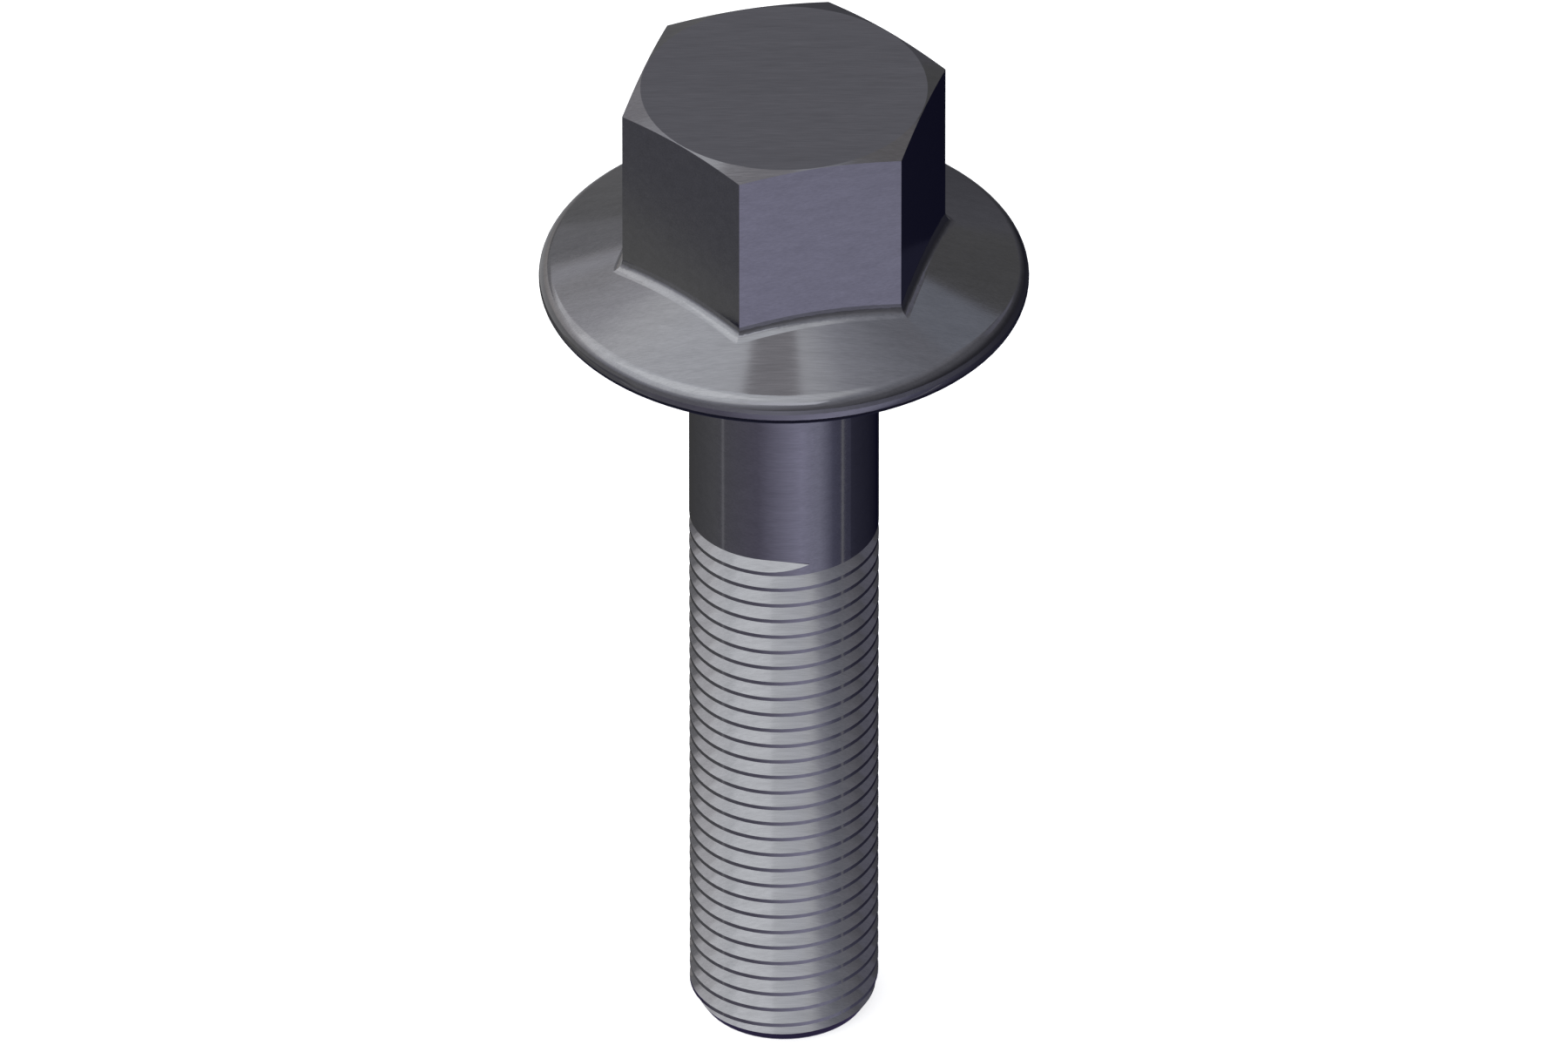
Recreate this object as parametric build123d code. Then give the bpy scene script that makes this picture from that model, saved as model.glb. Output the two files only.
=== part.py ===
"""Flange bolt: a hexagon head and a wide sloping flange forged in one piece with a threaded shank.

The bolt stands head up with its axis on Z. The origin is the centre of the flange's bearing face,
so the head is above z = 0 and the shank below it. Two corners of the hexagon lie on the X axis.
"""

import os
from math import ceil, cos, radians, sin, sqrt, tan

from build123d import *

# Hexagon head, in millimetres and degrees
across_flats = 15.0
head_height = 12.75
crown_diameter = 14.9
crown_slope = 15.0
head_fillet = 0.66

# Flange
flange_diameter = 25.5
flange_slope = 17.5
rim_radius = 0.93

# Shank
shank_diameter = 9.92
shank_length = 45.0
grip_length = 13.8
seat_fillet = 0.4
tip_chamfer = 1.0

# Thread, right-handed, and the bearing from +X at which its last full groove ends
thread_pitch = 1.0
thread_angle = 60.0
crest_width = 0.22
root_width = 0.07
run_out_bearing = -58.0

# The six sides of a hexagon
side_count = 6
side_turn = 360 / side_count
corner_radius = across_flats / 2 / cos(radians(side_turn / 2))

# The flange's rim is an arc, and its top a cone tangent to that arc
slope = radians(flange_slope)
rim_centre = flange_diameter / 2 - rim_radius
rim_top_radius = rim_centre + rim_radius * sin(slope)
rim_top_height = rim_radius + rim_radius * cos(slope)
apex_height = rim_top_height + rim_top_radius * tan(slope)

# The thread's groove, cut a little proud of the shank's surface
shank_radius = shank_diameter / 2
flank_lean = tan(radians(thread_angle / 2))
groove_width = thread_pitch - crest_width
thread_depth = (groove_width - root_width) / 2 / flank_lean
root_radius = shank_radius - thread_depth
cutter_margin = crest_width / 3
cutter_radius = shank_radius + cutter_margin

# Boxes and cones stand on the bearing plane
UPRIGHT = (Align.CENTER, Align.CENTER, Align.MIN)


def turn_about_axis(outline):
    """Solid of revolution about Z of a closed outline of (radius, height) points."""
    return revolve(Plane.XZ * make_face(outline), axis=Axis.Z)


def make_flange():
    """Flat bearing face, full round rim, and a top that slopes up to the middle of the head."""
    rim_foot = (rim_centre, 0)
    rim_edge = (flange_diameter / 2, rim_radius)
    rim_top = (rim_top_radius, rim_top_height)
    outline = Line((0, 0), rim_foot)
    outline += ThreePointArc(rim_foot, rim_edge, rim_top)
    outline += Polyline(rim_top, (0, apex_height), (0, 0))
    return turn_about_axis(outline)


def make_side():
    """All that lies inside one flat of the hexagon, with a fillet where the flat meets the slope."""
    width = 2 * (corner_radius + 2 * head_fillet)
    length = 2 * flange_diameter
    cone = Cone(bottom_radius=apex_height / tan(slope), top_radius=0, height=apex_height, align=UPRIGHT)
    ground = cone & Box(width, length, head_height, align=UPRIGHT)
    wall = Box(width, length, head_height, align=(Align.CENTER, Align.MAX, Align.MIN))
    wall = Pos(0, across_flats / 2, 0) * wall
    side = ground + wall
    return fillet(new_edges(ground, wall, combined=side), radius=head_fillet)


def make_hexagon():
    """Hexagon under a shallow crown cone: what the six sides have in common."""
    crown_radius = crown_diameter / 2
    crown_drop = (rim_centre - crown_radius) * tan(radians(crown_slope))
    outline = Polyline(
        (0, 0),
        (rim_centre, 0),
        (rim_centre, head_height - crown_drop),
        (crown_radius, head_height),
        (0, head_height),
        close=True,
    )
    hexagon = turn_about_axis(outline)
    side = make_side()
    for n in range(side_count):
        hexagon &= Rot(0, 0, n * side_turn) * side
    return hexagon


def make_shank():
    """Plain round shank, chamfered at the tip down to the thread's root."""
    outline = Polyline(
        (0, 0),
        (shank_radius, 0),
        (shank_radius, tip_chamfer - shank_length),
        (root_radius, -shank_length),
        (0, -shank_length),
        close=True,
    )
    return turn_about_axis(outline)


def make_blank():
    """The bolt before its thread, with a fillet between the shank and the bearing face."""
    blank = make_flange() + make_hexagon() + make_shank()
    neck = blank.edges().filter_by_position(Axis.Z, 0, 0).sort_by(SortBy.LENGTH)[0]
    return fillet(neck, radius=seat_fillet)


def make_groove_section():
    """Section of the thread's groove at the start of its helix, in the XZ plane."""
    half_root = root_width / 2
    half_mouth = half_root + (cutter_radius - root_radius) * flank_lean
    outline = Polyline(
        (root_radius, -half_root),
        (cutter_radius, -half_mouth),
        (cutter_radius, half_mouth),
        (root_radius, half_root),
        close=True,
    )
    return Plane.XZ * make_face(outline)


def make_thread_cutters():
    """One cutter for each turn of the groove, and one that leaves the shank along the tangent."""
    section = make_groove_section()
    helix = Helix(pitch=thread_pitch, height=thread_pitch, radius=root_radius)
    turn = sweep(section, path=helix, is_frenet=True)
    run_out = extrude(section, amount=sqrt(cutter_radius**2 - root_radius**2), dir=helix % 0)
    groove_top = grip_length + groove_width / 2
    turns = ceil((shank_length - grip_length) / thread_pitch)
    place = Pos(0, 0, -groove_top) * Rot(0, 0, run_out_bearing)
    return [place * run_out] + [place * Pos(0, 0, -thread_pitch * (n + 1)) * turn for n in range(turns)]


def make_bolt():
    """The whole bolt, one solid."""
    return make_blank() - make_thread_cutters()


os.makedirs("parts", exist_ok=True)
export_step(make_bolt(), "parts/flange_bolt.step")
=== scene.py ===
"""Looks of the flange bolt: dark brushed steel on a pale floor, in soft studio light."""

from math import cos, radians, sin

import bpy
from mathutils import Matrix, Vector


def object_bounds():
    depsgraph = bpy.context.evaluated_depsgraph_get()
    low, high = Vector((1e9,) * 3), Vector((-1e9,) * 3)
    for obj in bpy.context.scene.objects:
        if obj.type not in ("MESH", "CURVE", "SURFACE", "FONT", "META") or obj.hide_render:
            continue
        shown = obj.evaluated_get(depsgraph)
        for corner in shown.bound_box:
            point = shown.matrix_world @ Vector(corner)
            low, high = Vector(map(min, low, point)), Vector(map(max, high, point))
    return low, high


MM = 0.001

# The photograph is an isometric view: its angles, and the scale and place that it shows the bolt at
PHOTO_WIDTH = 1800
PIXELS_PER_MM = 22.0
CAMERA_AZIMUTH = 45.5
CAMERA_ELEVATION = 35.264
FRAME_CENTRE = Vector((0, 0, -14.83 * MM))

# A very long lens shows the bolt with hardly any perspective
LENS = 1000.0
SENSOR_WIDTH = 36.0
CAMERA_REACH = 100.0

# The camera stands at this angle from +X. Bearings are counted from there, to the right when positive
CAMERA_SIDE = CAMERA_AZIMUTH - 90

# Steel
STEEL_COLOUR = (0.305, 0.303, 0.32)
STEEL_ROUGHNESS = 0.1

# Fine streaks of the brushed finish, and how far they change its colour, its gloss and its surface
FINE_LENGTH = 1.3 * MM
FINE_WIDTH = 0.07 * MM
FINE_DETAIL = 3
FINE_CONTRAST = 0.08
GLOSS_CONTRAST = 0.02
STREAK_DEPTH = 0.0008 * MM

# Broad streaks, which only change its colour
BROAD_LENGTH = 3 * FINE_LENGTH
BROAD_WIDTH = 6 * FINE_WIDTH
BROAD_DETAIL = 2
BROAD_CONTRAST = 0.05

# Nearly all of a noise lies between these two values
NOISE_LOW = 0.3
NOISE_HIGH = 0.7

# The flange's slope and round rim, and from where on the steel's normal is worked out from them
FLANGE_SLOPE = 17.5
FLANGE_RADIUS = 12.75 * MM
RIM_RADIUS = 0.93 * MM
RIM_CENTRE = FLANGE_RADIUS - RIM_RADIUS
EXACT_FROM_RADIUS = 9.6 * MM
EXACT_FROM_HEIGHT = 0.1 * MM

# A Mix node has sockets for each kind of data: the numbers of those for vectors
MIX_FIRST = 4
MIX_SECOND = 5
MIX_RESULT = 1

# Floor
FLOOR_SIZE = 4.0
FLOOR_COLOUR = (0.9, 0.9, 0.9)
FLOOR_LIFT = 0.75

# The studio's light comes from the left, high up: its shade by the cosine of the angle from there
LIGHT_BEARING = -70
LIGHT_ELEVATION = 60
SKY_SHADES = (
    (-1.0, (0.00, 0.00, 0.01)),
    (-0.3, (0.06, 0.06, 0.07)),
    (0.1, (0.19, 0.19, 0.21)),
    (0.25, (0.20, 0.20, 0.22)),
    (0.4, (0.31, 0.31, 0.34)),
    (0.55, (0.36, 0.37, 0.41)),
    (0.67, (0.55, 0.56, 0.61)),
    (0.75, (0.94, 0.96, 0.98)),
    (0.85, (1.05, 1.08, 1.12)),
    (1.0, (1.22, 1.26, 1.27)),
)

# A dimmer light low on the left, behind the bolt
SIDE_BEARING = -130
SIDE_ELEVATION = 16
SIDE_SPREAD = 50
SIDE_SHADE = (0.30, 0.28, 0.24)

# Soft lamp in the middle of the studio's light, which casts the floor's shadow
SOFTBOX_SIZE = 0.4
SOFTBOX_ENERGY = 0.1
SOFTBOX_DISTANCE = 0.6

# The cards on the floor lie in thin layers
CARD_LIFT = 0.02 * MM
FAR_LIFT = CARD_LIFT
NEAR_LIFT = 2 * CARD_LIFT
GLINT_LIFT = 3 * CARD_LIFT
FACE_LIFT = 3 * CARD_LIFT
TIP_DISC_LIFT = 4 * CARD_LIFT

# A round card has a point every few degrees
DISC_STEP = 5

# Shades of the two round cards about the bolt's foot, by bearing
NEAR_RADIUS = 95 * MM
NEAR_SHADES = (
    (-180, (0.22, 0.22, 0.23)),
    (-160, (0.05, 0.05, 0.05)),
    (-90, (0.17, 0.17, 0.18)),
    (-30, (0.19, 0.18, 0.24)),
    (20, (0.50, 0.49, 0.65)),
    (42, (0.40, 0.40, 0.52)),
    (60, (0.15, 0.15, 0.22)),
    (95, (0.05, 0.05, 0.08)),
    (155, (0.00, 0.00, 0.01)),
    (180, (0.22, 0.22, 0.23)),
)
FAR_RADIUS = 3000 * MM
FAR_SHADES = (
    (-180, (0.22, 0.22, 0.23)),
    (-145, (0.44, 0.44, 0.44)),
    (-90, (0.26, 0.26, 0.26)),
    (-40, (0.25, 0.25, 0.28)),
    (0, (0.38, 0.38, 0.45)),
    (35, (0.25, 0.25, 0.31)),
    (105, (0.06, 0.06, 0.08)),
    (155, (0.02, 0.02, 0.03)),
    (180, (0.22, 0.22, 0.23)),
)

# Upright lines of light on the shank, by bearing, from narrow strips that lie on the near card
SHANK_RADIUS = 4.96 * MM
GLINTS = (-40, 38)
GLINT_SPREAD = 1.7
GLINT_LENGTH = 66 * MM
GLINT_SHADE = (0.32, 0.32, 0.34)

# Dark disc just below the flange, a painted shade for the shadow under it, which the lower edge of the
# rim mirrors as a dark line
FLANGE_DISC_RADIUS = 13.3 * MM
FLANGE_DISC_HEIGHT = -2 * MM
FLANGE_DISC_SHADE = (0.02, 0.02, 0.04)

# Dark disc under the tip, a painted shade for the shadow at its foot, which the tip's chamfer mirrors as
# a dark band
TIP_DISC_RADIUS = 6 * MM
TIP_DISC_SHADE = (0.05, 0.04, 0.10)

# Level cards: shade, and corners by their distances to the right and back in millimetres.
# The left face of the hexagon mirrors those on the floor, its foot the light one and its top the dark
FACE_CARDS = {
    "face_light": ((0.22, 0.22, 0.21), ((-70, -40), (-70, 40), (-120, 40), (-120, -40))),
    "face_dark": ((0.14, 0.14, 0.16), ((-73, -8), (-116, 24), (-125, -40), (-72, -28))),
}

# The flange, the crown and the thread mirror those overhead
OVERHEAD = 300 * MM
OVERHEAD_CARDS = {
    "bar": (
        (0.46, 0.45, 0.47),
        ((-28, 60), (12, 60), (12, 200), (-78, 200), (-50, 135), (-30, 122)),
    ),
    "panel": (
        (0.34, 0.36, 0.41),
        ((104, 180), (150, 180), (240, 287), (158, 287), (143, 258), (111, 190)),
    ),
    "crown_right": (
        (0.29, 0.28, 0.28),
        ((50, 152), (73, 157), (109, 190), (141, 258), (156, 287), (60, 287)),
    ),
    "crown_left": ((0.48, 0.47, 0.49), ((-165, 320), (-95, 320), (-95, 640), (-182, 640))),
    "dusk": ((0.16, 0.16, 0.16), ((80, 302), (300, 302), (500, 700), (80, 700))),
    "streak": ((0.65, 0.65, 0.68), ((-300, 405), (-179, 405), (-184, 480), (-300, 480))),
    "back": ((0.34, 0.34, 0.35), ((-600, 500), (-191, 500), (-196, 800), (-600, 800))),
    "low": ((0.25, 0.25, 0.25), ((-600, 802), (-50, 802), (-50, 2500), (-600, 2500))),
    "gleam": ((1.08, 1.10, 1.17), ((-110, -420), (110, -420), (110, -235), (-110, -235))),
    "left": ((1.00, 1.00, 1.01), ((-470, 190), (-235, 190), (-235, 400), (-470, 400))),
    "right": (
        (0.24, 0.24, 0.29),
        ((240, 190), (460, 190), (460, 430), (372, 430), (305, 298), (260, 287)),
    ),
}


def direction(bearing, elevation):
    """Unit vector at a bearing and an elevation."""
    turn = radians(CAMERA_SIDE + bearing)
    rise = radians(elevation)
    return Vector((cos(turn) * cos(rise), sin(turn) * cos(rise), sin(rise)))


def new_material(name):
    """Material with an empty node tree, and that tree."""
    material = bpy.data.materials.new(name)
    material.use_nodes = True
    material.node_tree.nodes.clear()
    return material, material.node_tree


def add_node(tree, kind, inputs, **settings):
    """Node with its settings, and with inputs that are plain values or the outputs of other nodes."""
    node = tree.nodes.new(kind)
    for name, value in settings.items():
        setattr(node, name, value)
    for name, value in inputs.items():
        if isinstance(value, bpy.types.NodeSocket):
            tree.links.new(value, node.inputs[name])
        else:
            node.inputs[name].default_value = value
    return node


def object_place(tree):
    """Place of each point of the surface, in the frame of its object."""
    return add_node(tree, "ShaderNodeTexCoord", {}).outputs["Object"]


def calculate(tree, operation, *values):
    """Number from one or two others."""
    node = add_node(tree, "ShaderNodeMath", dict(enumerate(values)), operation=operation)
    return node.outputs["Value"]


def scaled(tree, vector, scale):
    """Vector or colour times a number."""
    node = add_node(tree, "ShaderNodeVectorMath", {0: vector, "Scale": scale}, operation="SCALE")
    return node.outputs["Vector"]


def turned_about_axis(tree, angle, scale):
    """Place on the surface, counted from an angle about the bolt's axis and in units of a scale."""
    inputs = {"Vector": object_place(tree), "Rotation": (0, 0, radians(angle)), "Scale": scale}
    return add_node(tree, "ShaderNodeMapping", inputs, vector_type="TEXTURE").outputs["Vector"]


def ramp(tree, value, shades):
    """Shade by a value from 0 to 1, which spans the numbers of the (number, shade) pairs."""
    first = shades[0][0]
    last = shades[-1][0]
    node = add_node(tree, "ShaderNodeValToRGB", {"Fac": value})
    stops = node.color_ramp.elements
    while len(stops) < len(shades):
        stops.new(1.0)
    for stop, (number, shade) in zip(stops, shades):
        stop.position = (number - first) / (last - first)
        stop.color = (*shade, 1)
    return node.outputs["Color"]


def glow(tree, colour):
    """Light of a colour, which has an alpha where it is plain."""
    return add_node(tree, "ShaderNodeEmission", {"Color": colour}).outputs["Emission"]


def show(tree, shader):
    """Give the surface its shader."""
    add_node(tree, "ShaderNodeOutputMaterial", {"Surface": shader})


def streaks(tree, length, width, detail):
    """Noise drawn out along the camera's right, so that its streaks lie level as in the photograph."""
    place = turned_about_axis(tree, CAMERA_AZIMUTH, (length, width, width))
    noise = add_node(tree, "ShaderNodeTexNoise", {"Vector": place, "Scale": 1.0, "Detail": detail})
    return noise.outputs["Fac"]


def remap(tree, noise, middle, contrast):
    """Noise stretched to run from one contrast below the middle to one above."""
    inputs = {
        "Value": noise,
        "From Min": NOISE_LOW,
        "From Max": NOISE_HIGH,
        "To Min": middle - contrast,
        "To Max": middle + contrast,
    }
    return add_node(tree, "ShaderNodeMapRange", inputs).outputs["Result"]


def flange_normal(tree, place, radius, height):
    """Exact normal of the flange: that of its slope and, beyond it, that of its round rim."""
    out = calculate(tree, "SUBTRACT", radius, RIM_CENTRE)
    up = calculate(tree, "SUBTRACT", height, RIM_RADIUS)
    tilt = calculate(tree, "ARCTAN2", out, up)
    tilt = calculate(tree, "MAXIMUM", tilt, radians(FLANGE_SLOPE))
    lean = calculate(tree, "DIVIDE", calculate(tree, "SINE", tilt), radius)
    level = add_node(tree, "ShaderNodeSeparateXYZ", {"Vector": scaled(tree, place, lean)})
    inputs = {
        "X": level.outputs["X"],
        "Y": level.outputs["Y"],
        "Z": calculate(tree, "COSINE", tilt),
    }
    normal = add_node(tree, "ShaderNodeCombineXYZ", inputs)
    in_world = add_node(
        tree,
        "ShaderNodeVectorTransform",
        {"Vector": normal.outputs["Vector"]},
        vector_type="NORMAL",
        convert_from="OBJECT",
        convert_to="WORLD",
    )
    return in_world.outputs["Vector"]


def steel_normal(tree):
    """The mesh's normal, or on the flange the exact one, because the mesh's would show as dark dashes."""
    place = object_place(tree)
    level = add_node(tree, "ShaderNodeVectorMath", {0: place, 1: (1, 1, 0)}, operation="MULTIPLY")
    inputs = {0: level.outputs["Vector"]}
    radius = add_node(tree, "ShaderNodeVectorMath", inputs, operation="LENGTH").outputs["Value"]
    height = add_node(tree, "ShaderNodeSeparateXYZ", {"Vector": place}).outputs["Z"]
    past_hexagon = calculate(tree, "GREATER_THAN", radius, EXACT_FROM_RADIUS)
    above_seat = calculate(tree, "GREATER_THAN", height, EXACT_FROM_HEIGHT)
    inputs = {
        "Factor": calculate(tree, "MULTIPLY", past_hexagon, above_seat),
        MIX_FIRST: add_node(tree, "ShaderNodeNewGeometry", {}).outputs["Normal"],
        MIX_SECOND: flange_normal(tree, place, radius, height),
    }
    return add_node(tree, "ShaderNodeMix", inputs, data_type="VECTOR").outputs[MIX_RESULT]


def brushed_steel():
    """Dark steel with level brush streaks in its colour, gloss and relief."""
    material, tree = new_material("brushed_steel")
    fine = streaks(tree, FINE_LENGTH, FINE_WIDTH, FINE_DETAIL)
    broad = streaks(tree, BROAD_LENGTH, BROAD_WIDTH, BROAD_DETAIL)
    fine_shade = remap(tree, fine, 1, FINE_CONTRAST)
    broad_shade = remap(tree, broad, 1, BROAD_CONTRAST)
    shade = calculate(tree, "MULTIPLY", fine_shade, broad_shade)
    inputs = {"Distance": STREAK_DEPTH, "Height": fine, "Normal": steel_normal(tree)}
    relief = add_node(tree, "ShaderNodeBump", inputs)
    inputs = {
        "Base Color": scaled(tree, STEEL_COLOUR, shade),
        "Metallic": 1.0,
        "Roughness": remap(tree, fine, STEEL_ROUGHNESS, GLOSS_CONTRAST),
        "Normal": relief.outputs["Normal"],
    }
    show(tree, add_node(tree, "ShaderNodeBsdfPrincipled", inputs).outputs["BSDF"])
    return material


def pale_floor():
    """Matt white that keeps a soft shadow, lifted to white where the camera or the metal sees it."""
    material, tree = new_material("pale_floor")
    ray = add_node(tree, "ShaderNodeLightPath", {})
    seen = ray.outputs["Is Camera Ray"]
    for other in ("Is Glossy Ray", "Is Transmission Ray"):
        seen = calculate(tree, "MAXIMUM", seen, ray.outputs[other])
    strength = calculate(tree, "MULTIPLY", seen, FLOOR_LIFT)
    lift = add_node(tree, "ShaderNodeEmission", {"Strength": strength}).outputs["Emission"]
    matt = add_node(tree, "ShaderNodeBsdfDiffuse", {"Color": (*FLOOR_COLOUR, 1)}).outputs["BSDF"]
    show(tree, add_node(tree, "ShaderNodeAddShader", {0: matt, 1: lift}).outputs["Shader"])
    return material


def glowing(name, shade):
    """Material that shows a plain shade, whatever light falls on it."""
    material, tree = new_material(name)
    show(tree, glow(tree, (*shade, 1)))
    return material


def glowing_by_bearing(name, shades):
    """Material whose shade goes by the bearing from the bolt's axis."""
    material, tree = new_material(name)
    place = turned_about_axis(tree, CAMERA_SIDE, (1, 1, 1))
    angle = add_node(tree, "ShaderNodeTexGradient", {"Vector": place}, gradient_type="RADIAL")
    show(tree, glow(tree, ramp(tree, angle.outputs["Fac"], shades)))
    return material


def glowing_upwards(name, shade):
    """Material that shows a plain shade from above and is clear from below."""
    material, tree = new_material(name)
    inputs = {
        "Fac": add_node(tree, "ShaderNodeNewGeometry", {}).outputs["Backfacing"],
        1: glow(tree, (*shade, 1)),
        2: add_node(tree, "ShaderNodeBsdfTransparent", {}).outputs["BSDF"],
    }
    show(tree, add_node(tree, "ShaderNodeMixShader", inputs).outputs["Shader"])
    return material


def stage_mesh(name, points, material):
    """One flat polygon that isn't part of the bolt."""
    mesh = bpy.data.meshes.new(name)
    mesh.from_pydata(points, [], [range(len(points))])
    mesh.materials.append(material)
    piece = bpy.data.objects.new(name, mesh)
    bpy.context.scene.collection.objects.link(piece)
    return piece


def add_floor(height):
    """The floor that the bolt's tip stands on."""
    half = FLOOR_SIZE / 2
    corners = [(x * half, y * half, height) for x, y in ((-1, -1), (1, -1), (1, 1), (-1, 1))]
    stage_mesh("floor", corners, pale_floor())


def add_card(name, points, material):
    """Card that only the metal sees."""
    card = stage_mesh(name, points, material)
    card.visible_camera = False
    card.visible_diffuse = False
    card.visible_shadow = False
    card.visible_transmission = False


def disc(radius, height):
    """Points of a level disc about the bolt's axis."""
    level = Vector((0, 0, height))
    return [level + direction(bearing, 0) * radius for bearing in range(0, 360, DISC_STEP)]


def add_glints(height):
    """Narrow strips on the floor, each mirrored by the shank along one upright line."""
    level = Vector((0, 0, height))
    material = glowing("glint", GLINT_SHADE)
    for bearing in GLINTS:
        foot = level + direction(bearing, 0) * SHANK_RADIUS
        left = foot + direction(2 * bearing - GLINT_SPREAD, 0) * GLINT_LENGTH
        right = foot + direction(2 * bearing + GLINT_SPREAD, 0) * GLINT_LENGTH
        add_card("glint", [foot, left, right], material)


def add_level_card(name, shade, corners, height):
    """Level card on the floor or overhead."""
    right = direction(90, 0)
    back = direction(180, 0)
    up = Vector((0, 0, height))
    points = [up + right * x * MM + back * y * MM for x, y in corners]
    add_card(name, points, glowing(name, shade))


def add_cards(ground):
    """All that the metal mirrors apart from the studio's light and floor."""
    far_card = glowing_by_bearing("far_card", FAR_SHADES)
    near_card = glowing_by_bearing("near_card", NEAR_SHADES)
    add_card("far_card", disc(FAR_RADIUS, ground + FAR_LIFT), far_card)
    add_card("near_card", disc(NEAR_RADIUS, ground + NEAR_LIFT), near_card)
    add_glints(ground + GLINT_LIFT)

    # Painted shade: dark discs under the flange and under the tip, which the rim's lower edge and the
    # tip's chamfer mirror
    flange_disc = glowing_upwards("dark_disc", FLANGE_DISC_SHADE)
    tip_disc = glowing("tip_disc", TIP_DISC_SHADE)
    add_card("dark_disc", disc(FLANGE_DISC_RADIUS, FLANGE_DISC_HEIGHT), flange_disc)
    add_card("tip_disc", disc(TIP_DISC_RADIUS, ground + TIP_DISC_LIFT), tip_disc)

    for layer, (name, card) in enumerate(FACE_CARDS.items()):
        add_level_card(name, *card, ground + FACE_LIFT + layer * CARD_LIFT)
    for name, card in OVERHEAD_CARDS.items():
        add_level_card(name, *card, OVERHEAD)


def add_facing(name, data, target, away, distance):
    """Lamp or camera that faces a target, at a distance from it in the direction away."""
    thing = bpy.data.objects.new(name, data)
    thing.location = target + away * distance
    thing.rotation_mode = "QUATERNION"
    thing.rotation_quaternion = away.to_track_quat("Z", "Y")
    bpy.context.scene.collection.objects.link(thing)
    return thing


def add_softbox():
    """Large soft lamp in the middle of the studio's light."""
    lamp = bpy.data.lights.new("softbox", "AREA")
    lamp.size = SOFTBOX_SIZE
    lamp.energy = SOFTBOX_ENERGY
    away = direction(LIGHT_BEARING, LIGHT_ELEVATION)
    add_facing("softbox", lamp, Vector((0, 0, 0)), away, SOFTBOX_DISTANCE)


def cosine_to(tree, bearing, elevation):
    """Cosine of the angle between a direction of the sky and the given one."""
    sky = add_node(tree, "ShaderNodeTexCoord", {}).outputs["Generated"]
    inputs = {0: sky, 1: direction(bearing, elevation)}
    return add_node(tree, "ShaderNodeVectorMath", inputs, operation="DOT_PRODUCT").outputs["Value"]


def main_light(tree):
    """The studio's own glow, from the left and above."""
    inputs = {"Value": cosine_to(tree, LIGHT_BEARING, LIGHT_ELEVATION), "From Min": -1}
    spread = add_node(tree, "ShaderNodeMapRange", inputs).outputs["Result"]
    return ramp(tree, spread, SKY_SHADES)


def side_light(tree):
    """A round patch of dimmer light with a soft edge."""
    cosine = cosine_to(tree, SIDE_BEARING, SIDE_ELEVATION)
    inputs = {"Value": cosine, "From Min": cos(radians(SIDE_SPREAD))}
    patch = add_node(tree, "ShaderNodeMapRange", inputs, interpolation_type="SMOOTHSTEP")
    return scaled(tree, SIDE_SHADE, patch.outputs["Result"])


def add_world():
    """Studio that glows softly from the left and above, and is dim towards the right."""
    world = bpy.data.worlds.new("studio")
    world.use_nodes = True
    tree = world.node_tree
    tree.nodes.clear()
    inputs = {0: main_light(tree), 1: side_light(tree)}
    both = add_node(tree, "ShaderNodeVectorMath", inputs, operation="ADD").outputs["Vector"]
    background = add_node(tree, "ShaderNodeBackground", {"Color": both}).outputs["Background"]
    add_node(tree, "ShaderNodeOutputWorld", {"Surface": background})
    bpy.context.scene.world = world


def add_camera():
    """Camera at the photograph's angle, framed to its scale."""
    data = bpy.data.cameras.new("camera")
    data.lens = LENS
    data.sensor_width = SENSOR_WIDTH
    data.clip_end = CAMERA_REACH
    frame_width = PHOTO_WIDTH / PIXELS_PER_MM * MM
    distance = frame_width * LENS / SENSOR_WIDTH
    away = direction(0, CAMERA_ELEVATION)
    bpy.context.scene.camera = add_facing("camera", data, FRAME_CENTRE, away, distance)


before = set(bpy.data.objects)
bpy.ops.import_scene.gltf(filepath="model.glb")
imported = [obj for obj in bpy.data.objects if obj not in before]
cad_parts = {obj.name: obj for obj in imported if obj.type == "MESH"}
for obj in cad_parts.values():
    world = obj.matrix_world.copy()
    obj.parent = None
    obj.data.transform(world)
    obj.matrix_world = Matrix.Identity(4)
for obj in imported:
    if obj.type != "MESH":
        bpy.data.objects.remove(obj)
cad_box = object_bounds()

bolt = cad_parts["flange_bolt"]
steel = brushed_steel()
for slot in bolt.material_slots:
    slot.material = steel

# The photograph's steel mirrors the studio, but not the bolt's own flange, head and threads
bolt.visible_glossy = False

ground = cad_box[0].z
add_floor(ground)
add_cards(ground)
add_softbox()
add_world()
add_camera()

bpy.context.scene.view_settings.view_transform = "Standard"
